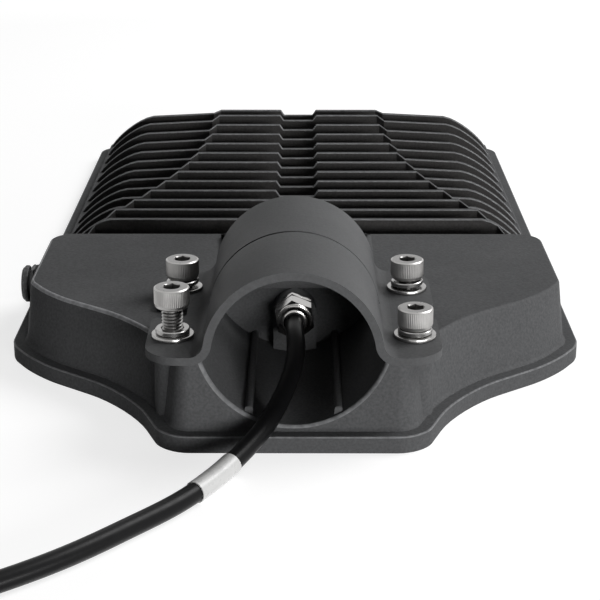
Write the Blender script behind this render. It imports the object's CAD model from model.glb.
import bpy
import bmesh
from math import atan2, cos, degrees, hypot, pi, radians, sin, sqrt, tan
from mathutils import Matrix, Vector


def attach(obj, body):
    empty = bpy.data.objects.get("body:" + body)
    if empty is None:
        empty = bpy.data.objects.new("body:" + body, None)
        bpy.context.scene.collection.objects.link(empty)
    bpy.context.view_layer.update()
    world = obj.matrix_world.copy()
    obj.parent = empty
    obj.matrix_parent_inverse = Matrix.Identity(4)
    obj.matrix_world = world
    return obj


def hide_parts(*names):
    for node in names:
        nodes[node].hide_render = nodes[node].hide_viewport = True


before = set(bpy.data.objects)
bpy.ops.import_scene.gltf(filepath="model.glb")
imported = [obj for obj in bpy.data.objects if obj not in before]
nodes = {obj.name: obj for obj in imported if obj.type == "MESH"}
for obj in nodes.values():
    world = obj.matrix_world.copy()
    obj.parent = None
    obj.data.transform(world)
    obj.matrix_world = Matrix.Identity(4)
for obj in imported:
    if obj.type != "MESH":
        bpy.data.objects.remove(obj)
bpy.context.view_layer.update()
scene = bpy.context.scene
print("stage: frame loaded")

# sizes are in millimetres, and a finished mesh is scaled to metres

camera = {"place": (4.17, -749.34, 253.69), "down": 19.819, "turn": 0.192, "lens": 97.3,
          "film": 36, "clip": (0.01, 20)}


def placeCamera(values):
    data = bpy.data.cameras.new("photoCamera")
    data.sensor_width = values["film"]
    data.lens = values["lens"]
    data.clip_start, data.clip_end = values["clip"]
    obj = bpy.data.objects.new("photoCamera", data)
    obj.location = Vector(values["place"]) / 1000
    obj.rotation_euler = (radians(90 - values["down"]), 0, radians(values["turn"]))
    scene.collection.objects.link(obj)
    scene.camera = obj


placeCamera(camera)


# materials

def shaderOf(material):
    return material.node_tree.nodes["Principled BSDF"]


def newMaterial(name, color, roughness, metallic=0.0):
    material = bpy.data.materials.new(name)
    material.use_nodes = True
    shader = shaderOf(material)
    shader.inputs["Base Color"].default_value = (*color, 1)
    shader.inputs["Roughness"].default_value = roughness
    shader.inputs["Metallic"].default_value = metallic
    return material


def addNode(material, kind, **settings):
    node = material.node_tree.nodes.new(kind)
    for key, value in settings.items():
        setattr(node, key, value)
    return node


def noiseOf(material, scale, detail=3.0, stretch=(1, 1, 1)):
    links = material.node_tree.links
    coords = addNode(material, "ShaderNodeTexCoord")
    mapping = addNode(material, "ShaderNodeMapping")
    mapping.inputs["Scale"].default_value = stretch
    noise = addNode(material, "ShaderNodeTexNoise")
    noise.inputs["Scale"].default_value = scale
    noise.inputs["Detail"].default_value = detail
    links.new(coords.outputs["Object"], mapping.inputs["Vector"])
    links.new(mapping.outputs["Vector"], noise.inputs["Vector"])
    return noise.outputs["Fac"]


def spread(material, value, low, high):
    # most of a noise lies between 0.3 and 0.7
    scaled = addNode(material, "ShaderNodeMapRange")
    scaled.inputs["From Min"].default_value = 0.3
    scaled.inputs["From Max"].default_value = 0.7
    scaled.inputs["To Min"].default_value = low
    scaled.inputs["To Max"].default_value = high
    material.node_tree.links.new(value, scaled.inputs["Value"])
    return scaled.outputs["Result"]


def shadeColor(material, color, value, low, high):
    # the colour times a factor that runs from low to high
    links = material.node_tree.links
    mix = addNode(material, "ShaderNodeMix", data_type="RGBA", blend_type="MIX")
    mix.inputs["A"].default_value = (*[c * low for c in color], 1)
    mix.inputs["B"].default_value = (*[c * high for c in color], 1)
    links.new(spread(material, value, 0, 1), mix.inputs["Factor"])
    links.new(mix.outputs["Result"], shaderOf(material).inputs["Base Color"])


def roughBy(material, value, low, high):
    roughness = shaderOf(material).inputs["Roughness"]
    material.node_tree.links.new(spread(material, value, low, high), roughness)


def bumpBy(material, value, distance, after=None):
    # distance is in millimetres; after is a bump that lies under this one
    links = material.node_tree.links
    bump = addNode(material, "ShaderNodeBump")
    bump.inputs["Distance"].default_value = distance / 1000
    bump.inputs["Strength"].default_value = 1
    links.new(value, bump.inputs["Height"])
    if after:
        links.new(after.outputs["Normal"], bump.inputs["Normal"])
    links.new(bump.outputs["Normal"], shaderOf(material).inputs["Normal"])
    return bump


coat = {"color": (0.08, 0.081, 0.083), "gloss": 0.02, "rough": (0.5, 0.66), "grainSize": 1.0,
        "grainDepth": 0.09, "grainContrast": 0.16, "patchSize": 30, "patchDepth": 0.2,
        "edgeRough": 0.45, "edgeGloss": 0.08, "wearScale": 420, "wear": (0.72, 1.25)}


def powderCoat(name, values, smoothness=0.0):
    low, high = values["rough"]
    material = newMaterial(name, values["color"], low)
    shaderOf(material).inputs["Specular IOR Level"].default_value = values["gloss"]
    grain = noiseOf(material, 1000 / values["grainSize"], 4)
    patch = noiseOf(material, 1000 / values["patchSize"], 5)
    contrast = values["grainContrast"] * (1 - 0.6 * smoothness)
    shadeColor(material, values["color"], grain, 1 - contrast, 1 + contrast)
    roughBy(material, patch, low - 0.12 * smoothness, high - 0.2 * smoothness)
    deep = bumpBy(material, patch, values["patchDepth"] * (1 - smoothness))
    bumpBy(material, grain, values["grainDepth"] * (1 - 0.75 * smoothness), deep)
    return material


def turnedMetal(name, color, roughness, lineSize=0.25, depth=0.004):
    material = newMaterial(name, color, roughness, 1.0)
    lines = noiseOf(material, 1000 / lineSize, 2, (0.15, 0.15, 1))
    smudge = noiseOf(material, 300, 4)
    shadeColor(material, color, smudge, 0.93, 1.05)
    roughBy(material, smudge, roughness * 0.88, roughness * 1.15)
    bumpBy(material, lines, depth)
    return material


def moulded(name, color, low, high, size=2.0, depth=0.02):
    material = newMaterial(name, color, (low + high) / 2)
    texture = noiseOf(material, 1000 / size, 4)
    shadeColor(material, color, noiseOf(material, 60, 3), 0.93, 1.06)
    roughBy(material, texture, low, high)
    bumpBy(material, texture, depth)
    return material


def wornEdge(name, values, brightness):
    # the coat is thin and lighter in places along the crisp edges of a casting
    material = newMaterial(name, values["color"], values["edgeRough"])
    shaderOf(material).inputs["Specular IOR Level"].default_value = values["edgeGloss"]
    low, high = [brightness * w for w in values["wear"]]
    shadeColor(material, values["color"], noiseOf(material, values["wearScale"], 3), low, high)
    bumpBy(material, noiseOf(material, 1000 / values["grainSize"], 4), values["grainDepth"])
    return material


castPaint = powderCoat("castPaint", coat)
castEdge = wornEdge("castEdge", coat, 1.9)
boxEdge = wornEdge("boxEdge", coat, 3.4)
finPaint = powderCoat("finPaint", {**coat, "color": (0.038, 0.0366, 0.036)})
clampPaint = powderCoat("clampPaint", {**coat, "color": (0.088, 0.089, 0.091)}, 0.7)
clampEdge = wornEdge("clampEdge", coat, 2.0)
boltSteel = turnedMetal("boltSteel", (0.24, 0.236, 0.232), 0.3)
knurledSteel = turnedMetal("knurledSteel", (0.4, 0.393, 0.385), 0.34)
washerSteel = turnedMetal("washerSteel", (0.34, 0.335, 0.33), 0.24)
glandMetal = turnedMetal("glandMetal", (0.42, 0.41, 0.4), 0.14)
sealRubber = moulded("sealRubber", (0.03, 0.03, 0.031), 0.6, 0.85)
ventPlastic = moulded("ventPlastic", (0.045, 0.045, 0.047), 0.42, 0.6, 0.8)
cableJacket = moulded("cableJacket", (0.004, 0.004, 0.0043), 0.3, 0.38, 3, 0.006)
shaderOf(cableJacket).inputs["Specular IOR Level"].default_value = 0.12
sleevePlastic = moulded("sleevePlastic", (0.52, 0.52, 0.515), 0.22, 0.36, 3, 0.02)
boardPaint = moulded("boardPaint", (0.8, 0.81, 0.8), 0.35, 0.5, 1)
emitterResin = moulded("emitterResin", (0.85, 0.62, 0.12), 0.3, 0.45, 0.6)
padRubber = moulded("padRubber", (0.42, 0.44, 0.47), 0.6, 0.8)
driverMetal = turnedMetal("driverMetal", (0.72, 0.73, 0.74), 0.4, 0.6)
driverPlastic = moulded("driverPlastic", (0.05, 0.05, 0.05), 0.45, 0.6)
surgePlastic = moulded("surgePlastic", (0.06, 0.12, 0.34), 0.4, 0.55)
terminalPlastic = moulded("terminalPlastic", (0.75, 0.75, 0.7), 0.4, 0.55)
brownCore = moulded("brownCore", (0.16, 0.06, 0.025), 0.3, 0.45)
blueCore = moulded("blueCore", (0.02, 0.09, 0.42), 0.3, 0.45)
greenCore = moulded("greenCore", (0.2, 0.42, 0.04), 0.3, 0.45)
copper = turnedMetal("copper", (0.8, 0.42, 0.25), 0.3)


def clearPlastic():
    material = newMaterial("clearPlastic", (0.93, 0.95, 0.96), 0.06)
    shader = shaderOf(material)
    shader.inputs["Transmission Weight"].default_value = 0.92
    shader.inputs["IOR"].default_value = 1.49
    roughBy(material, noiseOf(material, 90, 3), 0.04, 0.1)
    return material


lensPlastic = clearPlastic()

nodeFinishes = {
    castPaint: ["driver_cover", "housing"],
    clampPaint: ["tube_clamp"],
    washerSteel: ["cover_screws", "lens_screws", "board_screws", "driver_screws", "flat_washers",
                  "spring_washers"],
    boltSteel: ["clamp_bolt_front_left", "clamp_bolt_front_right", "clamp_bolt_rear_left",
                "clamp_bolt_rear_right"],
    glandMetal: ["gland_body", "gland_nut", "terminal_screws", "earth_screw"],
    sealRubber: ["cover_seal", "gland_seal", "vent_seal", "lens_seal_left", "lens_seal_right"],
    ventPlastic: ["vent_body", "vent_cap"],
    lensPlastic: ["lens_left", "lens_right"],
    boardPaint: ["led_board_left", "led_board_right"],
    emitterResin: ["leds_left", "leds_right"],
    padRubber: ["heat_pads"],
    driverMetal: ["driver_case"],
    driverPlastic: ["driver_end_caps"],
    surgePlastic: ["surge_protector"],
    terminalPlastic: ["terminal_block"],
    cableJacket: ["inner_cable", "driver_lead", "board_lead", "supply_cable", "cable_coil"],
    sleevePlastic: ["marking_sleeve"],
    brownCore: ["live_core", "cable_cores"],
    blueCore: ["neutral_core"],
    greenCore: ["earth_core"],
}
for finish, nodeNames in nodeFinishes.items():
    for nodeName in nodeNames:
        nodes[nodeName].data.materials.clear()
        nodes[nodeName].data.materials.append(finish)
print("stage: finishes made")


# mesh tools: each solid starts as a bmesh of its own and is then joined to its piece

leastCorner = 0.4
# the way that a solid made upwards comes to point
axisTurns = {"z": Matrix.Identity(4),
             "x": Matrix.Rotation(radians(90), 4, "Y"), "-x": Matrix.Rotation(radians(-90), 4, "Y"),
             "y": Matrix.Rotation(radians(-90), 4, "X"), "-y": Matrix.Rotation(radians(90), 4, "X")}


def sharpEdges(bm, angle, test):
    # the edges that turn by more than the angle, where the test says yes to their middle
    limit = radians(angle)
    return [e for e in bm.edges if len(e.link_faces) == 2 and e.calc_face_angle(0) > limit
            and test((e.verts[0].co + e.verts[1].co) / 2)]


def roundEdges(bm, edges, size, segments, finish=-1):
    # finish: the place of the rounding's material, or -1 for that of the faces beside it
    if edges:
        bmesh.ops.bevel(bm, geom=edges, offset=size, offset_type="OFFSET", segments=segments,
                        profile=0.5, affect="EDGES", clamp_overlap=True, material=finish)


def bothSides(right):
    return right + [(-x, y, radius) for x, y, radius in reversed(right)]


def insetCorners(corners, distance):
    moved = []
    for i, (x, y, radius) in enumerate(corners):
        here = Vector((x, y))
        before = (here - Vector(corners[i - 1][:2])).normalized()
        after = (Vector(corners[(i + 1) % len(corners)][:2]) - here).normalized()
        normals = Vector((-before.y - after.y, before.x + after.x))
        place = here + normals * distance / (1 + before.dot(after))
        turnsOut = before.cross(after) > 0
        rounded = radius - distance if turnsOut else radius + distance
        moved.append((place.x, place.y, max(rounded, leastCorner)))
    return moved


def outlineFace(bm, corners, height, segments=8):
    # each corner is x, y and the radius that rounds it
    verts = [bm.verts.new((x, y, height)) for x, y, _ in corners]
    bm.faces.new(verts)
    for i, (x, y, radius) in enumerate(corners):
        before = Vector(corners[i - 1][:2]) - Vector((x, y))
        after = Vector(corners[(i + 1) % len(corners)][:2]) - Vector((x, y))
        if radius > 0.05:
            bmesh.ops.bevel(bm, geom=[verts[i]], offset=radius / tan(before.angle(after) / 2),
                            offset_type="OFFSET", segments=segments, profile=0.5,
                            affect="VERTICES", material=-1)
    bm.faces.ensure_lookup_table()
    face = bm.faces[0]
    if face.normal.z < 0:
        face.normal_flip()
    return face


def slab(corners, low, high, segments=8):
    # an upright solid on an outline
    bm = bmesh.new()
    face = outlineFace(bm, corners, low, segments)
    made = bmesh.ops.extrude_face_region(bm, geom=[face], use_keep_orig=True)["geom"]
    bmesh.ops.translate(bm, verts=[v for v in made if isinstance(v, bmesh.types.BMVert)],
                        vec=(0, 0, high - low))
    bmesh.ops.recalc_face_normals(bm, faces=bm.faces)
    return bm


def stepped(corners, steps, low, segments=8):
    # a solid that narrows upwards, by steps of inset and rise
    bm = bmesh.new()
    bottom = outlineFace(bm, corners, low, segments)
    made = bmesh.ops.extrude_face_region(bm, geom=[bottom], use_keep_orig=True)["geom"]
    top = [g for g in made if isinstance(g, bmesh.types.BMFace)][0]
    bmesh.ops.translate(bm, verts=list(top.verts), vec=(0, 0, steps[0][1]))
    for inwards, rise in steps[1:]:
        bmesh.ops.inset_region(bm, faces=[top], thickness=inwards, depth=rise,
                               use_boundary=True, use_even_offset=True)
    bmesh.ops.recalc_face_normals(bm, faces=bm.faces)
    return bm


def box(x0, x1, y0, y1, z0, z1):
    return slab([(x0, y0, 0), (x1, y0, 0), (x1, y1, 0), (x0, y1, 0)], z0, z1)


def moveTo(bm, place=(0, 0, 0), axis="z"):
    bmesh.ops.transform(bm, matrix=Matrix.Translation(place) @ axisTurns[axis], verts=bm.verts)
    return bm


def lathe(profile, steps):
    # profile: distance from the axis and height; a ring where both ends lie off the axis
    bm = bmesh.new()
    verts = [bm.verts.new((r, 0, h)) for r, h in profile]
    edges = [bm.edges.new(pair) for pair in zip(verts, verts[1:])]
    if profile[0][0] > 0 and profile[-1][0] > 0:
        edges.append(bm.edges.new((verts[-1], verts[0])))
    bmesh.ops.spin(bm, geom=verts + edges, cent=(0, 0, 0), axis=(0, 0, 1), dvec=(0, 0, 0),
                   angle=2 * pi, steps=steps, use_merge=True, use_duplicate=False)
    bmesh.ops.remove_doubles(bm, verts=bm.verts, dist=0.0005)
    bmesh.ops.recalc_face_normals(bm, faces=bm.faces)
    return bm


def rod(radius, low, high, steps):
    return lathe([(0, low), (radius, low), (radius, high), (0, high)], steps)


def wind(section, start, angle, steps, rise):
    # a section swept round the axis from the start angle, which goes up by the rise each step
    bm = bmesh.new()
    ring = [bm.verts.new((r * cos(start), r * sin(start), h)) for r, h in section]
    bmesh.ops.spin(bm, geom=[bm.faces.new(ring)], cent=(0, 0, 0), axis=(0, 0, 1),
                   dvec=(0, 0, rise), angle=angle, steps=steps, use_merge=False,
                   use_duplicate=False)
    bmesh.ops.recalc_face_normals(bm, faces=bm.faces)
    return bm


def turnRound(bm, angle):
    bmesh.ops.rotate(bm, verts=bm.verts, cent=(0, 0, 0),
                     matrix=Matrix.Rotation(radians(angle), 3, "Z"))


def hexagonRod(flats, length):
    # its middle lies at the origin
    bm = bmesh.new()
    radius = flats / sqrt(3)
    bmesh.ops.create_cone(bm, cap_ends=True, segments=6, radius1=radius, radius2=radius,
                          depth=length)
    return bm


def asObject(bm, name):
    mesh = bpy.data.meshes.new(name)
    bm.to_mesh(mesh)
    bm.free()
    obj = bpy.data.objects.new(name, mesh)
    scene.collection.objects.link(obj)
    return obj


def joinInto(bm, *others):
    for other in others:
        mesh = bpy.data.meshes.new("part")
        other.to_mesh(mesh)
        other.free()
        bm.from_mesh(mesh)
        bpy.data.meshes.remove(mesh)
    return bm


def combine(bm, others, operation="DIFFERENCE"):
    # the solid with the others cut away, joined on or kept in common
    target = asObject(bm, "target")
    tools = [asObject(other, "tool") for other in others]
    # faces keep their material only where the object has as many
    for obj in [target] + tools:
        for finish in (castPaint, castEdge, finPaint, boxEdge):
            obj.data.materials.append(finish)
    for tool in tools:
        modifier = target.modifiers.new("combine", "BOOLEAN")
        modifier.operation = operation
        modifier.solver = "EXACT"
        modifier.object = tool
    graph = bpy.context.evaluated_depsgraph_get()
    graph.update()
    result = bmesh.new()
    result.from_mesh(target.evaluated_get(graph).to_mesh())
    for obj in [target] + tools:
        bpy.data.objects.remove(obj)
    return result


def finishPiece(bm, name, materials, body, node, sharp=35):
    # from millimetres to metres, with its sharp edges marked, in place of its node
    bmesh.ops.scale(bm, vec=(0.001, 0.001, 0.001), verts=bm.verts)
    for face in bm.faces:
        face.smooth = True
    limit = radians(sharp)
    for edge in bm.edges:
        edge.smooth = not (len(edge.link_faces) == 2 and edge.calc_face_angle(0) > limit)
    obj = asObject(bm, name)
    for material in materials:
        obj.data.materials.append(material)
    weighted = obj.modifiers.new("weighted", "WEIGHTED_NORMAL")
    weighted.keep_sharp = True
    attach(obj, body)
    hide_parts(node)
    return obj


# supply cable, its sleeve and its cores

cable = {
    "diameter": 7.2, "coilCentre": (-152, -286), "startRadius": 44, "step": 8, "turns": 3,
    "layer": 7.7, "perTurn": 24, "climbTurns": 0.5,
    "route": [(0, -144.3, 26), (0, -151, 26), (0.4, -158, 25.2), (0.8, -166, 23.3),
              (0.1, -176, 20.8), (-1.7, -186, 18), (-4.6, -196, 15.3), (-7.8, -206, 12.6),
              (-12.6, -216.5, 9.4), (-22.2, -231.9, 5.3), (-27.8, -241.4, 4.4), (-33.4, -251, 4.1),
              (-38.8, -258.5, 3.8), (-45, -266, 3.6), (-53, -275, 3.6), (-62, -285.5, 3.6),
              (-72, -296, 3.6), (-84, -306.5, 3.6), (-98, -317, 3.6), (-113, -325, 3.6),
              (-129, -330, 3.6), (-144.8, -330, 3.6)],
}
cordDetail = {"around": 7, "along": 5, "order": 4}


def coilPoints(values):
    # a loose coil: half of its turns go inwards, then it climbs a layer and goes outwards
    points = []
    total = values["turns"] * values["perTurn"]
    for k in range(total + 1):
        u = k / values["perTurn"]
        radius = values["startRadius"] - values["step"] * min(u, values["turns"] - u)
        climbed = u - values["turns"] / 2 + values["climbTurns"] / 2
        climb = min(max(climbed / values["climbTurns"], 0), 1)
        height = values["diameter"] / 2 + values["layer"] * climb * climb * (3 - 2 * climb)
        angle = radians(-90 - 360 * u)
        points.append((values["coilCentre"][0] + radius * cos(angle),
                       values["coilCentre"][1] + radius * sin(angle), height))
    last = points[-1]
    return points + [(last[0] - values["diameter"], last[1], last[2])]


def splineObject(name, points, radius, closedEnds=True):
    curve = bpy.data.curves.new(name, "CURVE")
    curve.dimensions = "3D"
    curve.bevel_depth = radius / 1000
    curve.bevel_resolution = cordDetail["around"]
    curve.resolution_u = cordDetail["along"]
    curve.use_fill_caps = closedEnds
    spline = curve.splines.new("NURBS")
    spline.points.add(len(points) - 1)
    for point, place in zip(spline.points, points):
        point.co = (*[c / 1000 for c in place], 1)
    spline.order_u = cordDetail["order"]
    spline.use_endpoint_u = closedEnds
    obj = bpy.data.objects.new(name, curve)
    scene.collection.objects.link(obj)
    return obj


cableRoute = cable["route"] + coilPoints(cable)
supplyCable = splineObject("supplyCable", cableRoute, cable["diameter"] / 2)
supplyCable.data.materials.append(cableJacket)
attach(supplyCable, "head")
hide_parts("supply_cable", "cable_coil")

# from, to: the points of the cable's route that it follows
sleeve = {"outer": 4.03, "wall": 0.35, "from": 8, "to": 13}


def makeSleeve(values):
    # a short hollow tube on the same curve as the cable
    points = cable["route"][values["from"]:values["to"]]
    line = splineObject("sleeveLine", points, values["outer"], closedEnds=False)
    graph = bpy.context.evaluated_depsgraph_get()
    bm = bmesh.new()
    bm.from_mesh(line.evaluated_get(graph).to_mesh())
    bpy.data.objects.remove(line)
    bmesh.ops.remove_doubles(bm, verts=bm.verts, dist=1e-6)
    bmesh.ops.recalc_face_normals(bm, faces=bm.faces)
    bmesh.ops.solidify(bm, geom=list(bm.faces), thickness=values["wall"] / 1000)
    bmesh.ops.scale(bm, vec=(1000, 1000, 1000), verts=bm.verts)
    return finishPiece(bm, "markingSleeve", [sleevePlastic], "head", "marking_sleeve")


markingSleeve = makeSleeve(sleeve)

# apart: how far the cores lie from each other at their start, bend, neck and tip
cores = {"radius": 1.1, "bare": 0.55, "length": 26, "bareLength": 7, "bendAt": 8,
         "apart": (2.3, 2.6, 3.4, 3.6), "sag": (0, -0.1, -1, -1.2), "overlap": 0.1}


def makeCores(values):
    tail = Vector(cableRoute[-1])
    pieces = []
    along = (1, -values["bendAt"], values["bareLength"] - values["length"], -values["length"])
    finishes = {"brown": brownCore, "blue": blueCore, "green": greenCore}
    for side, (name, finish) in zip((-1, 0, 1), finishes.items()):
        start, bend, neck, tip = [tail + Vector((x, side * y, z))
                                  for x, y, z in zip(along, values["apart"], values["sag"])]
        covered = neck.lerp(bend, values["overlap"])
        for part, points, radius, look in (
                ("Core", [start, bend, neck], values["radius"], finish),
                ("Strands", [covered, neck, tip], values["bare"], copper)):
            obj = splineObject(name + part, points, radius)
            obj.data.materials.append(look)
            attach(obj, "head")
            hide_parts("cable_cores")
            pieces.append(obj)
    return pieces


coreEnds = makeCores(cores)
print("stage: cable made")


# housing casting: rim, driver box with the trough, plate with the cooling fins

# places of the crisp edges, the fins' sides and the box's edge among a piece's materials
edgeFinish, sideFinish, boxEdgeFinish = 1, 2, 3
# where the four clamp bolts stand
boltX, boltY = 45, (-186.5, -133.5)
boltPlaces = [(x, y, 0) for x in (-boltX, boltX) for y in boltY]

# footRound, topRound and padSteps: how far in and how far up each step goes
casting = {
    "flank": [(47.9, -211, 14), (63.5, -170.4, 78), (105.3, -138.6, 70), (118.5, -117.9, 20)],
    "halfWidth": 118.5, "tip": 211, "tipCorner": 13, "ledge": 6,
    "rimTop": 6.7, "rimEdges": (0.6, 0.3),
    "boxLow": 6.3, "boxTop": 33.5, "boxEnd": -40.5, "boxBack": -50.5, "boxCorner": 19,
    "footRound": [(0, 0.5), (0.12, 0.12), (0.3, 0.16), (0.35, 0.28), (0.25, 0.4), (0.13, 0.55)],
    "topRound": [(0.14, 0.5), (0.26, 0.4), (0.4, 0.26), (0.5, 0.14)],
    "wallLean": 4, "wallFoot": 8.31, "wallHeight": 23.88, "worn": {"x": 20, "y": -60, "z": 32.3},
    "troughRadius": 35.5, "troughHeight": 44, "troughStart": -213, "troughEnd": -124, "lip": 1.4,
    "column": [(0, 3), (7.5, 3), (7, 32.5), (6.7, 33.1), (6.1, 33.45), (0, 33.45)],
    "boltHole": 4.1, "boltHoleZ": (9.5, 40),
    "ribX": 16.5, "ribWidth": 3, "ribRise": 2.4, "ribSink": 3, "ribStart": -202.5, "ribEdge": 1.2,
    "padX": 33.8, "padY": (-107.5, -51.5), "padCorner": 3, "padLow": 33,
    "padSteps": [(0, 0.6), (3.8, 1.35), (0.5, 0.15)],
    "glandPad": 8.8, "glandPadFront": -130.7, "glandPadZ": (7.5, 24.7), "glandPadEdge": 0.6,
    "ventPlace": (-111.9, -82.5, 20.9),
    "ventBoss": [(0, 0), (8.1, 0), (8.5, 0.4), (8.9, 8), (0, 8)],
    "plateZ": (6.65, 11.1), "plateCorner": 10, "plateEdge": 0.8,
}


def leanBelowRound(values):
    return values["wallLean"] - sum(inwards for inwards, _ in values["topRound"])


def makeRim(values):
    top, bottom = values["rimEdges"]
    bm = slab(bothSides(values["flank"] + [(values["halfWidth"], values["tip"],
                                            values["tipCorner"])]), 0, values["rimTop"])
    roundEdges(bm, sharpEdges(bm, 60, lambda c: c.z > values["rimTop"] - 1), top, 2, edgeFinish)
    roundEdges(bm, sharpEdges(bm, 60, lambda c: c.z < 1), bottom, 2)
    return bm


def driverBox(values):
    outline = bothSides(values["flank"] + [(values["halfWidth"], values["boxEnd"],
                                            values["boxCorner"])])
    foot, crown, worn = values["footRound"], values["topRound"], values["worn"]
    rise = values["boxTop"] - values["boxLow"] - sum(upwards for _, upwards in foot + crown)
    start = values["ledge"] - sum(inwards for inwards, _ in foot)
    bm = stepped(insetCorners(outline, start), foot + [(leanBelowRound(values), rise)] + crown,
                 values["boxLow"])
    for face in bm.faces:
        # the coat is thin along the top edge, most of all on the vent's side
        centre = face.calc_center_median()
        onEdge = worn["z"] < centre.z < values["boxTop"] - 0.02
        if onEdge and centre.x < worn["x"] and centre.y < worn["y"]:
            face.material_index = boxEdgeFinish
    return bm


def makeRib(values, side):
    drop = sqrt(values["troughRadius"] ** 2 - values["ribX"] ** 2)
    low = values["troughHeight"] - drop
    x, half = side * values["ribX"], values["ribWidth"] / 2
    bm = box(x - half, x + half, values["ribStart"], values["troughEnd"] + 1,
             low - values["ribSink"], low + values["ribRise"])
    upper = sharpEdges(bm, 60, lambda c: c.z > low and c.y < values["troughEnd"])
    roundEdges(bm, upper, values["ribEdge"], 4)
    return bm


def makeLip(values):
    # the cutter that rounds the trough's mouth, leaning as the front wall does
    size, radius = values["lip"], values["troughRadius"]
    arc = [(radius + size * (1 - sin(a)), size * (1 - cos(a)))
           for a in [radians(turn) for turn in range(0, 91, 18)]]
    lip = lathe([(0, -5), (radius + size, -5)] + arc + [(0, size)], 96)
    for face in lip.faces:
        centre = face.calc_center_median()
        if 0.01 < centre.z < size - 0.01 and centre.xy.length > radius - 1:
            face.material_index = edgeFinish
    moveTo(lip, axis="y")
    slope = leanBelowRound(values) / values["wallHeight"]
    wallY = (values["flank"][0][1] + values["ledge"]
             + (values["troughHeight"] - values["wallFoot"]) * slope)
    bmesh.ops.transform(lip, matrix=Matrix.Translation((0, wallY, values["troughHeight"]))
                        @ Matrix.Rotation(-atan2(slope, 1), 4, "X"), verts=lip.verts)
    return lip


def makePlate(values):
    outline = bothSides([(values["halfWidth"], values["boxBack"], values["plateCorner"]),
                         (values["halfWidth"], values["tip"], values["tipCorner"])])
    low, high = values["plateZ"]
    bm = slab(insetCorners(outline, values["ledge"]), low, high)
    roundEdges(bm, sharpEdges(bm, 60, lambda c: c.z > high - 1), values["plateEdge"], 3)
    return bm


def makeGlandPad(values):
    wide, high = values["glandPad"], -values["glandPadFront"]
    low, middle = values["glandPadZ"]
    bm = slab(bothSides([(wide, low, 0), (wide, middle + wide, wide)]), -values["troughEnd"] - 1,
              high, 12)
    roundEdges(bm, sharpEdges(bm, 60, lambda c: c.z > high - 1), values["glandPadEdge"], 3)
    return moveTo(bm, axis="-y")


# jog: how far a fin stands further forwards past its raised middle
fins = {
    "count": 12, "pitch": 19.308, "thickness": 2.6, "rise": 1.4, "dish": 3.1, "wide": 93,
    "narrow": 46, "curve": 1.8, "slopeRun": 4.3, "step": 2, "lastStep": 0.6, "lastDrop": 1.5,
    "fall": 0.05, "jog": 5.6, "jogRun": (0, 4), "endX": 112.2, "roundX": 86, "roundTurn": 9,
    "endCurve": (1.5, 0.77), "footZ": 9.7, "low": 7.2, "draftFrom": 8, "draft": 0.25,
    "grooveX": 8.4, "grooveEdge": 10.4, "grooveDepth": 3, "grooveCorner": 0.6, "edge": 0.45,
}


def finMiddle(values, share):
    # how far out the raised middle goes
    spare = values["wide"] - values["narrow"]
    return values["narrow"] + spare * max(1 - share, 0) ** values["curve"]


def finHeight(values, share, x):
    # share runs from 0 at the front fin to 1; the one after that is the last and lower fin
    top = casting["boxTop"] - values["lastDrop"]
    step = values["lastStep"]
    if share <= 1:
        dish = values["dish"] * 4 * share * (1 - share)
        top = casting["boxTop"] + values["rise"] * (1 - share) - dish
        step = values["step"]
    past = x - finMiddle(values, share)
    run = min(max(past, 0) / values["slopeRun"], 1)
    level = top - step * run - values["fall"] * max(past - values["slopeRun"], 0)
    end = max(x - values["roundX"], 0) / (values["endX"] - values["roundX"])
    bend, power = values["endCurve"]
    return top, values["footZ"] + (level - values["footZ"]) * max(1 - end ** bend, 0) ** power


def makeFin(values, number):
    share = (number - 1) / (values["count"] - 1)
    middle = finMiddle(values, share)
    top, _ = finHeight(values, share, 0)
    reach = values["endX"] - values["roundX"]
    roundStations = [values["roundX"] + reach * sin(radians(a))
                     for a in range(0, 91, values["roundTurn"])]
    # the rounded end's stations that come too near to the slope are left out
    stations = {middle, middle + values["slopeRun"]}
    stations |= {x for x in roundStations if abs(x - middle - 2.2) > 3}
    right = [(values["endX"], values["low"], 0)]
    right += [(x, finHeight(values, share, x)[1], 0) for x in sorted(stations, reverse=True)
              if x <= values["endX"]]
    right += [(values["grooveEdge"], top, values["grooveCorner"]),
              (values["grooveX"], top - values["grooveDepth"], values["grooveCorner"])]
    half = values["thickness"] / 2
    bm = slab(bothSides(right), -half, half, 3)
    for face in bm.faces:
        if abs(face.normal.z) > 0.9:
            face.material_index = sideFinish
    for vert in bm.verts:
        if vert.co.y < values["draftFrom"]:
            vert.co.z *= 1 + values["draft"] / half
    upper = sharpEdges(bm, 60, lambda c: c.y > values["draftFrom"] and abs(abs(c.z) - half) < 0.3)
    roundEdges(bm, upper, values["edge"], 2, edgeFinish)
    jogStart, jogEnd = [middle + run for run in values["jogRun"]]
    for x in (-jogStart, -jogEnd, jogStart, jogEnd):
        bmesh.ops.bisect_plane(bm, geom=bm.verts[:] + bm.edges[:] + bm.faces[:], dist=0.001,
                               plane_co=(x, 0, 0), plane_no=(1, 0, 0))
    for vert in bm.verts:
        moved = (abs(vert.co.x) - jogStart) / (jogEnd - jogStart)
        vert.co.z += values["jog"] * min(max(moved, 0), 1)
    moveTo(bm, axis="-y")
    return moveTo(bm, (0, casting["boxBack"] + values["pitch"] * number, 0))


underside = {
    "low": -1, "coverEnd": (118.5, -42.5, 12), "coverIn": 6.5, "coverDeep": 3.6, "cavityIn": 12.5,
    "cavityZ": (1, 30.5), "wallX": 39.5, "wallEnd": -121, "cavityFront": -165,
    "lensX": (3, 112), "lensY": (-43, 204.5), "lensCorner": 3.5, "lensDeep": 4.4,
    "chamberIn": 10, "chamberTop": 6.9,
}


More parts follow.
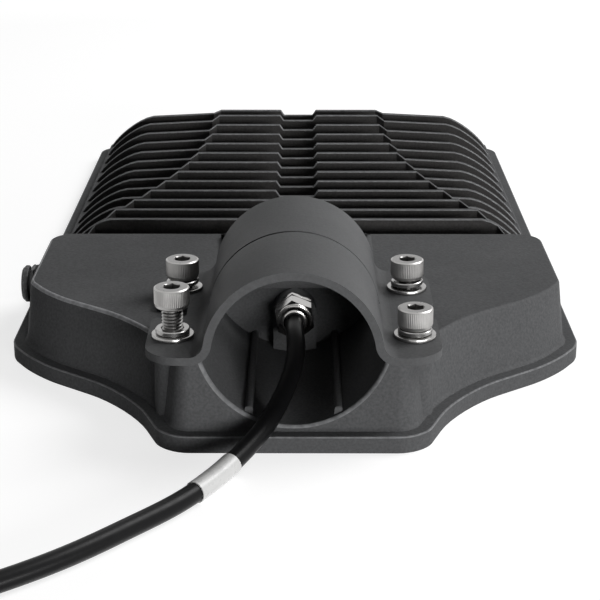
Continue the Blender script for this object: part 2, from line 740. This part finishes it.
def undersideCutters(values):
    # the recess of the cover, and for each lens its window and the chamber over it
    cover = bothSides(casting["flank"] + [values["coverEnd"]])
    cutters = [slab(insetCorners(cover, values["coverIn"]), values["low"], values["coverDeep"])]
    front, back = values["lensY"]
    for side in (-1, 1):
        left, right = sorted(side * x for x in values["lensX"])
        window = [(x, y, values["lensCorner"])
                  for x, y in ((left, front), (right, front), (right, back), (left, back))]
        cutters.append(slab(window, values["low"], values["lensDeep"], 5))
        cutters.append(slab(insetCorners(window, values["chamberIn"]), 0, values["chamberTop"], 5))
    return cutters


def makeCavity(values):
    # the driver's room; the boxes that cut it back at the trough's wall reach well past it
    low, high = values["cavityZ"]
    cover = bothSides(casting["flank"] + [values["coverEnd"]])
    room = slab(insetCorners(cover, values["cavityIn"]), low, high)
    wall = box(-values["wallX"], values["wallX"], -215, values["wallEnd"], 0, 40)
    front = box(-120, 120, -215, values["cavityFront"], 0, 40)
    return combine(room, [wall, front])


def makeHousing(values, below):
    pad = stepped(bothSides([(values["padX"], y, values["padCorner"]) for y in values["padY"]]),
                  values["padSteps"], values["padLow"], 5)
    columns = [moveTo(lathe(values["column"], 48), (x, boltY[0], 0)) for x in (-boltX, boltX)]
    body = combine(makeRim(values), [driverBox(values), pad] + columns, "UNION")
    trough = moveTo(rod(values["troughRadius"], values["troughStart"], values["troughEnd"], 96),
                    (0, 0, values["troughHeight"]), "y")
    body = combine(body, [trough, makeLip(values)])
    boss = moveTo(lathe(values["ventBoss"], 48), values["ventPlace"], "x")
    ribs = [makeRib(values, side) for side in (-1, 1)]
    body = combine(body, [makePlate(values), makeGlandPad(values), boss] + ribs, "UNION")
    holes = [moveTo(rod(values["boltHole"], *values["boltHoleZ"], 32), place)
             for place in boltPlaces]
    body = combine(body, holes + undersideCutters(below))
    body = combine(body, [makeCavity(below)])
    for number in range(1, fins["count"] + 2):
        joinInto(body, makeFin(fins, number))
    return body


finishPiece(makeHousing(casting, underside), "housingCasting",
            [castPaint, castEdge, finPaint, boxEdge], "head", "housing", sharp=40)
print("stage: housing cast")


# tube clamp

clampShape = {
    "y": (-208.5, -111), "earX": 54.5, "low": 33.5, "thickness": 3, "archRadius": 30,
    "archHeight": 36, "fillet": 5.5, "arcSteps": 28, "planZ": (30, 75), "earCorner": 13,
    "notchX": 41.5, "notchY": (-167, -152.5), "notchCorner": 4, "notchMouth": 3,
    "grooveY": -159.75, "grooveWidth": 1.6, "grooveDepth": 0.7, "grooveLow": 39.5,
    "hole": 4.5, "holeZ": (30, 40), "spotRadius": 8.4, "spotDepth": 9, "edge": 0.5,
}


def arcPoints(centre, radius, start, end, steps):
    turns = [radians(start + (end - start) * k / steps) for k in range(steps + 1)]
    return [(centre[0] + radius * cos(a), centre[1] + radius * sin(a)) for a in turns]


def clampProfile(values):
    # a bent strap: the right half outside, the left half outside, then back along the inside
    top = values["low"] + values["thickness"]
    bendZ = top + values["fillet"]
    reach = values["archRadius"] + values["thickness"] + values["fillet"]
    bendX = sqrt(reach ** 2 - (bendZ - values["archHeight"]) ** 2)
    meet = degrees(atan2(bendZ - values["archHeight"], bendX))
    centre = (0, values["archHeight"])
    steps = values["arcSteps"]
    right = [(values["earX"], values["low"]), (values["earX"], top)]
    right += arcPoints((bendX, bendZ), values["fillet"], 270, 180 + meet, 8)
    right += arcPoints(centre, values["archRadius"] + values["thickness"], meet, 90, steps)[1:]
    left = [(-x, z) for x, z in reversed(right[:-1])]
    outerBend = values["fillet"] + values["thickness"]
    inside = arcPoints((-bendX, bendZ), outerBend, -90, -meet, 10)
    inside += arcPoints(centre, values["archRadius"], 180 - meet, 90, steps)[1:]
    inside += [(-x, z) for x, z in reversed(inside[:-1])]
    return right + left + inside


def clampPlan(values):
    start, end = values["y"]
    mouthStart, mouthEnd = values["notchY"]
    ear, notch, mouth = values["earX"], values["notchX"], values["notchMouth"]
    right = [(ear, start, values["earCorner"]), (ear, mouthStart, mouth),
             (notch, mouthStart, values["notchCorner"]), (notch, mouthEnd, values["notchCorner"]),
             (ear, mouthEnd, mouth), (ear, end, values["earCorner"])]
    return slab(bothSides(right), *values["planZ"], 10)


def clampGroove(values):
    # the cutter of the groove that runs over the arch
    start, end = values["y"]
    outer = values["archRadius"] + values["thickness"]
    inner, wide = outer - values["grooveDepth"], values["grooveWidth"]
    ring = lathe([(inner, 0), (outer + 3, 0), (outer + 3, wide), (inner, wide)], 112)
    moveTo(ring, (0, values["grooveY"] - wide / 2, values["archHeight"]), "y")
    return combine(ring, [box(-60, 60, start, end, 0, values["grooveLow"])])


def makeClamp(values):
    start, end = values["y"]
    top = values["low"] + values["thickness"]
    outer = values["archRadius"] + values["thickness"]
    arch = slab([(x, z, 0) for x, z in clampProfile(values)], -end, -start)
    bm = combine(moveTo(arch, axis="-y"), [clampPlan(values)], "INTERSECT")
    cutters = []
    for place in boltPlaces:
        cutters.append(moveTo(rod(values["hole"], *values["holeZ"], 32), place))
        spot = rod(values["spotRadius"], top, top + values["spotDepth"], 48)
        cutters.append(moveTo(spot, place))
    bm = combine(bm, cutters + [clampGroove(values)])
    bmesh.ops.dissolve_limit(bm, angle_limit=radians(0.5), verts=bm.verts, edges=bm.edges)

    def isSoft(c):
        # all but the groove's corners, and of those its front edge
        nearGroove = abs(c.y - values["grooveY"]) < values["grooveWidth"]
        overArch = c.z > values["grooveLow"] - 0.1
        outside = hypot(c.x, c.z - values["archHeight"]) > outer - 0.1
        return not (nearGroove and overArch) or (c.y < values["grooveY"] and outside)

    roundEdges(bm, sharpEdges(bm, 45, isSoft), values["edge"], 2, edgeFinish)
    return bm


# clamp bolts and their washers

# profiles: distance from the axis and height above the head's foot
bolts = {
    "headLow": 40.2, "raised": 8, "rearRaised": 1.2,
    "head": [(0, 0), (5.7, 0), (6.3, 0.6), (6.4, 1.4), (6.6, 1.7), (6.6, 7.3), (6.55, 7.55),
             (6.4, 7.5), (5.95, 7.94), (5.75, 8), (0, 8)],
    "radius": 6.6, "height": 8, "flutes": 60, "fluteDepth": 0.2, "fluteBand": (1.7, 7.3),
    "socket": 6, "socketDepth": 4, "mouth": [(0, 7.65), (3.08, 7.65), (3.5, 8.1), (0, 8.1)],
    "drillTip": [(0, 3.2), (2.6, 4.2), (0, 4.2)],
    "shank": [(0, -30), (2.7, -30), (3.3, -29.4), (3.3, 0.3), (0, 0.3)],
    "thread": [(3.2, -0.575), (4, -0.12), (4, 0.12), (3.2, 0.575)], "threadStart": -29.1,
    "pitch": 1.25, "threadTurns": 22, "threadSteps": 20,
}


def makeBolt(values, x, y, raised):
    low, high = values["fluteBand"]
    radius, height = values["radius"], values["height"]
    head = lathe(values["head"], 2 * values["flutes"])
    for vert in head.verts:
        around = round(atan2(vert.co.y, vert.co.x) / pi * values["flutes"])
        if low - 0.01 < vert.co.z < high + 0.01 and around % 2:
            vert.co.xy *= 1 - values["fluteDepth"] / radius
    for face in head.faces:
        centre = face.calc_center_median()
        if 0.1 < centre.z < height - 0.1 and centre.xy.length > radius - 1:
            face.material_index = edgeFinish
    socket = hexagonRod(values["socket"], values["socketDepth"] + 1)
    moveTo(socket, (0, 0, height - values["socketDepth"] / 2 + 0.5))
    head = combine(head, [socket, lathe(values["mouth"], 48), lathe(values["drillTip"], 36)])
    steps, turns = values["threadSteps"], values["threadTurns"]
    ridge = [(r, h + values["threadStart"]) for r, h in values["thread"]]
    thread = wind(ridge, 0, 2 * pi * turns, steps * turns, values["pitch"] / steps)
    bm = joinInto(head, lathe(values["shank"], 32), thread)
    return moveTo(bm, (x, y, values["headLow"] + raised))


# profiles as for the bolts, above the foot of each washer; turns: of the left and right slits
washers = {
    "flatLow": 36.5, "springLow": 38.12, "springRadius": 6.4, "split": 1.1, "lift": 0.16,
    "turns": (60, 100), "springSteps": 60,
    "flat": [(4.1, 0), (7.65, 0), (8, 0.35), (8, 1.04), (7.825, 1.425), (7.44, 1.6), (4.3, 1.6),
             (4.1, 1.4)],
    "spring": [(4.2, 0.15), (4.4, 0), (6.1, 0), (6.4, 0.3), (6.4, 1.6), (6.1, 1.9), (4.4, 1.9),
               (4.2, 1.75)],
}


def makeFlatWashers(values):
    bm = bmesh.new()
    for x, y, _ in boltPlaces:
        joinInto(bm, moveTo(lathe(values["flat"], 72), (x, y, values["flatLow"])))
    return bm


def makeSpringWashers(values):
    # a split ring whose ends stand a little apart in height
    bm = bmesh.new()
    steps, split = values["springSteps"], values["split"] / values["springRadius"]
    for x, y, _ in boltPlaces:
        lift = values["lift"] + (bolts["rearRaised"] if y == boltY[1] else 0)
        coil = wind(values["spring"], split, 2 * pi - 2 * split, steps, lift / steps)
        turnRound(coil, values["turns"][x > 0])
        joinInto(bm, moveTo(coil, (x, y, values["springLow"])))
    return bm


finishPiece(makeClamp(clampShape), "tubeClamp", [clampPaint, clampEdge], "clamp", "tube_clamp")
for x, y, _ in boltPlaces:
    sideName, endName = "right" if x > 0 else "left", "rear" if y == boltY[1] else "front"
    raised = bolts["rearRaised"] if endName == "rear" else bolts["raised"] * (x < 0)
    place = endName + "_" + sideName
    finishPiece(makeBolt(bolts, x, y, raised), "clampBolt" + endName.title() + sideName.title(),
                [boltSteel, knurledSteel], "bolt_" + place, "clamp_bolt_" + place,
                sharp=30)
finishPiece(makeFlatWashers(washers), "flatWashers", [washerSteel], "clamp", "flat_washers")
finishPiece(makeSpringWashers(washers), "springWashers", [washerSteel], "clamp", "spring_washers")
print("stage: clamp and bolts made")


# cable gland and vent plug

# dome and mouth: distance from the axis and length from the nut's foot
gland = {
    "z": 26, "flats": 14.5, "turn": 8, "chamfer": 0.3, "flangeY": (-134.1, -130.7),
    "bore": 3.62, "stemRadius": 5.9, "inner": -123.9, "nutY": (-141.9, -134.3),
    "dome": [(0, 6.6), (6.8, 6.6), (6.6, 7.95), (5.8, 8.2), (5.5, 8.5), (5.5, 9.2), (5.25, 9.75),
             (4.7, 10), (0, 10)],
    "mouth": [(0, -2), (3.62, -2), (3.62, 9.3), (4.72, 10.4), (0, 10.4)],
}


def hexagon(flats, length, chamfer, turn):
    # a hexagonal nut blank whose corners are turned off at both ends
    bm = hexagonRod(flats, length)
    turnRound(bm, turn)
    moveTo(bm, (0, 0, length / 2))
    flat, corner = flats / 2, flats / sqrt(3) + 0.05
    rise = (corner - flat + 0.35) * 0.55
    turned = lathe([(0, 0), (flat - chamfer, 0), (corner, rise), (corner, length - rise),
                    (flat - chamfer, length), (0, length)], 72)
    return combine(bm, [turned], "INTERSECT")


def makeGlandBody(values):
    front, back = values["flangeY"]
    bm = hexagon(values["flats"], back - front, values["chamfer"], values["turn"])
    stem = rod(values["stemRadius"], back - values["inner"], 0.2, 48)
    bm = combine(combine(bm, [stem], "UNION"), [rod(values["bore"], -20, 20, 48)])
    return moveTo(bm, (0, back, values["z"]), "-y")


def makeGlandNut(values):
    front, back = values["nutY"]
    bm = hexagon(values["flats"], back - front, values["chamfer"], values["turn"])
    bm = combine(combine(bm, [lathe(values["dome"], 64)], "UNION"), [lathe(values["mouth"], 64)])
    return moveTo(bm, (0, back, values["z"]), "-y")


# cap: distance from the axis and height; every fourth point round its edge is a notch
vent = {
    "y": -82.5, "z": 20.9, "flange": (112.7, 114.7), "flats": 14.8, "chamfer": 0.2,
    "neckRadius": 6, "neckLow": -6, "capLow": 115.5, "capRadius": 8, "capSteps": 72,
    "cap": [(0, 0), (7.6, 0), (8, 0.4), (8, 1.6), (7.65, 1.95), (7.2, 2.1), (7.2, 2.45),
            (6.75, 2.9), (3, 2.9), (2.7, 2.6), (0, 2.6)],
    "notch": 0.3, "notchZ": (0.3, 1.7),
}


def makeVentBody(values):
    start, end = values["flange"]
    neck = rod(values["neckRadius"], values["neckLow"], values["capLow"] - start, 48)
    flange = hexagon(values["flats"], end - start, values["chamfer"], 0)
    bm = combine(flange, [neck], "UNION")
    return moveTo(bm, (-start, values["y"], values["z"]), "-x")


def makeVentCap(values):
    bm = lathe(values["cap"], values["capSteps"])
    radius = values["capRadius"]
    low, high = values["notchZ"]
    for vert in bm.verts:
        around = round(atan2(vert.co.y, vert.co.x) / (2 * pi) * values["capSteps"])
        onEdge = low < vert.co.z < high and vert.co.xy.length > radius - 0.2
        if onEdge and around % 4 == 0:
            vert.co.xy *= 1 - values["notch"] / radius
    return moveTo(bm, (-values["capLow"], values["y"], values["z"]), "-x")


finishPiece(makeGlandBody(gland), "glandBody", [glandMetal], "head", "gland_body")
finishPiece(makeGlandNut(gland), "glandNut", [glandMetal], "head", "gland_nut")
finishPiece(makeVentBody(vent), "ventBody", [ventPlastic], "head", "vent_body")
finishPiece(makeVentCap(vent), "ventCap", [ventPlastic], "head", "vent_cap")
print("stage: gland and vent made")


# floor, background and lamps

stage = {
    "floorSize": 4.0, "floorShade": 0.4, "floorGlow": 0.75, "farGlow": 1.0, "glowRun": (0.7, 1.5),
    "worldLight": 0.035,
    "lamps": {
        "highRight": {"place": (0.8, 0.25, 0.95), "aim": (0, -0.05, 0), "size": (0.7, 0.7),
                      "power": 13},
        "lowRight": {"place": (1.6, -1.65, 0.3), "aim": (0, -0.1, 0.02), "size": (0.9, 0.4),
                     "power": 20},
        "lowFront": {"place": (0.78, -2.15, 0.32), "aim": (0, -0.1, 0.02), "size": (0.9, 0.4),
                     "power": 30},
        "backLeft": {"place": (-0.45, 1.7, 0.75), "aim": (0, 0, 0), "size": (0.8, 0.5), "power": 5,
                     "mirrored": False},
        "below": {"place": (0.2, 0.3, -1.2), "aim": (0, 0, 0), "size": (0.8, 0.8), "power": 14},
    },
}


def seenDirectly(nodeTree):
    # 1 for camera, glossy and transmission rays, 0 for the light that falls on the object
    path = nodeTree.nodes.new("ShaderNodeLightPath")
    seen = path.outputs["Is Camera Ray"]
    for ray in ("Is Glossy Ray", "Is Transmission Ray"):
        larger = nodeTree.nodes.new("ShaderNodeMath")
        larger.operation = "MAXIMUM"
        nodeTree.links.new(seen, larger.inputs[0])
        nodeTree.links.new(path.outputs[ray], larger.inputs[1])
        seen = larger.outputs["Value"]
    return seen


def makeFloor(values):
    bm = bmesh.new()
    bmesh.ops.create_grid(bm, x_segments=1, y_segments=1, size=values["floorSize"])
    floor = asObject(bm, "floor")
    shade = values["floorShade"]
    material = newMaterial("floorPaper", (shade, shade, shade), 0.9)
    tree = material.node_tree
    shader = tree.nodes["Principled BSDF"]
    shader.inputs["Specular IOR Level"].default_value = 0
    shader.inputs["Emission Color"].default_value = (1, 1, 1, 1)
    # the glow grows away from the lamp head, where the lamps no longer reach
    coords = addNode(material, "ShaderNodeTexCoord")
    away = addNode(material, "ShaderNodeVectorMath", operation="LENGTH")
    tree.links.new(coords.outputs["Object"], away.inputs[0])
    glow = addNode(material, "ShaderNodeMapRange")
    glow.inputs["From Min"].default_value, glow.inputs["From Max"].default_value = values["glowRun"]
    glow.inputs["To Min"].default_value = values["floorGlow"]
    glow.inputs["To Max"].default_value = values["farGlow"]
    tree.links.new(away.outputs["Value"], glow.inputs["Value"])
    strength = addNode(material, "ShaderNodeMath", operation="MULTIPLY")
    tree.links.new(seenDirectly(tree), strength.inputs[0])
    tree.links.new(glow.outputs["Result"], strength.inputs[1])
    tree.links.new(strength.outputs["Value"], shader.inputs["Emission Strength"])
    # clear from below, for the camera and for the light of the lamp underneath
    clear = addNode(material, "ShaderNodeBsdfTransparent")
    mix = addNode(material, "ShaderNodeMixShader")
    facing = addNode(material, "ShaderNodeNewGeometry")
    path = addNode(material, "ShaderNodeLightPath")
    passed = addNode(material, "ShaderNodeMath", operation="MAXIMUM")
    tree.links.new(facing.outputs["Backfacing"], passed.inputs[0])
    tree.links.new(path.outputs["Is Shadow Ray"], passed.inputs[1])
    tree.links.new(passed.outputs["Value"], mix.inputs["Fac"])
    tree.links.new(shader.outputs["BSDF"], mix.inputs[1])
    tree.links.new(clear.outputs["BSDF"], mix.inputs[2])
    tree.links.new(mix.outputs["Shader"], tree.nodes["Material Output"].inputs["Surface"])
    floor.data.materials.append(material)


def makeWorld(values):
    world = bpy.data.worlds.new("studio")
    scene.world = world
    world.use_nodes = True
    background = world.node_tree.nodes["Background"]
    background.inputs["Color"].default_value = (1, 1, 1, 1)
    strength = world.node_tree.nodes.new("ShaderNodeMapRange")
    strength.inputs["To Min"].default_value = values["worldLight"]
    world.node_tree.links.new(seenDirectly(world.node_tree), strength.inputs["Value"])
    world.node_tree.links.new(strength.outputs["Result"], background.inputs["Strength"])


def makeLamp(name, values):
    data = bpy.data.lights.new(name, "AREA")
    data.shape = "RECTANGLE"
    data.size, data.size_y = values["size"]
    data.energy = values["power"]
    lamp = bpy.data.objects.new(name, data)
    lamp.location = values["place"]
    aim = Vector(values["aim"]) - Vector(values["place"])
    lamp.rotation_euler = aim.to_track_quat("-Z", "Y").to_euler()
    lamp.visible_glossy = values.get("mirrored", True)
    scene.collection.objects.link(lamp)


makeFloor(stage)
makeWorld(stage)
for lampName, lampValues in stage["lamps"].items():
    makeLamp(lampName, lampValues)
scene.view_settings.view_transform = "Standard"
print("stage: lit")
